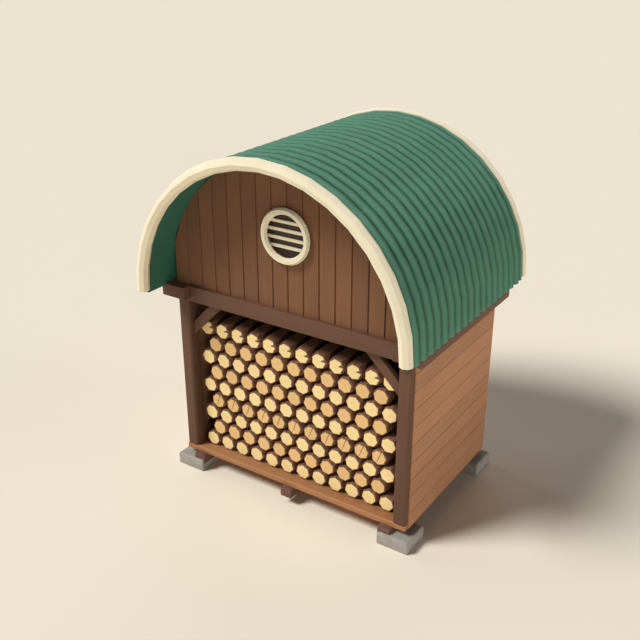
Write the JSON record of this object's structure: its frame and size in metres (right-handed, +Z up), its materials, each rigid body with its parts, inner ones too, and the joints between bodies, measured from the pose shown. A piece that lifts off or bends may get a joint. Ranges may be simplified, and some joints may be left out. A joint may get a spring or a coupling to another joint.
{
  "type": "log store",
  "caption": "Raised timber log store: open front stacked with seven-sided logs, boarded sides and gable with a round vent, under a half-round corrugated roof.",
  "frame": {"origin": "middle of the footprint at ground level, on the underside of the four pads", "axes": "+Z up, -Y out of the open front, +X to the right seen from the front"},
  "size_m": [2.265, 1.892, 2.724],
  "materials": {
    "concrete": "matte",
    "bearer_timber": "matte",
    "floor_boards": "matte",
    "frame_timber": "matte",
    "cladding": "matte",
    "gable_boards": "matte",
    "cream_paint": "satin",
    "green_sheet": "satin",
    "log_bark": "matte"
  },
  "bodies": {
    "root": {"pad_front_left": "concrete", "pad_front_right": "concrete", "pad_rear_left": "concrete", "pad_rear_right": "concrete", "bearer_left": "bearer_timber", "bearer_middle": "bearer_timber", "bearer_right": "bearer_timber", "floor_deck": "floor_boards", "post_front_left": "frame_timber", "post_front_right": "frame_timber", "post_rear_left": "frame_timber", "post_rear_right": "frame_timber", "eaves_plate_left": "frame_timber", "eaves_plate_right": "frame_timber", "front_header": "frame_timber", "rear_header": "frame_timber", "brace_front_left": "frame_timber", "brace_front_right": "frame_timber", "side_wall_left": "cladding", "side_wall_right": "cladding", "rear_wall": "cladding", "front_gable": "gable_boards", "rear_gable": "gable_boards", "vent_ring": "cream_paint", "vent_louvres": "cream_paint", "roof_sheet": "green_sheet", "front_bargeboard": "cream_paint", "rear_bargeboard": "cream_paint", "log_row_1": "log_bark", "log_row_2": "log_bark", "log_row_3": "log_bark", "log_row_4": "log_bark", "log_row_5": "log_bark", "log_row_6": "log_bark", "log_row_7": "log_bark", "log_row_8": "log_bark", "log_row_9": "log_bark"}
  },
  "joints": []
}
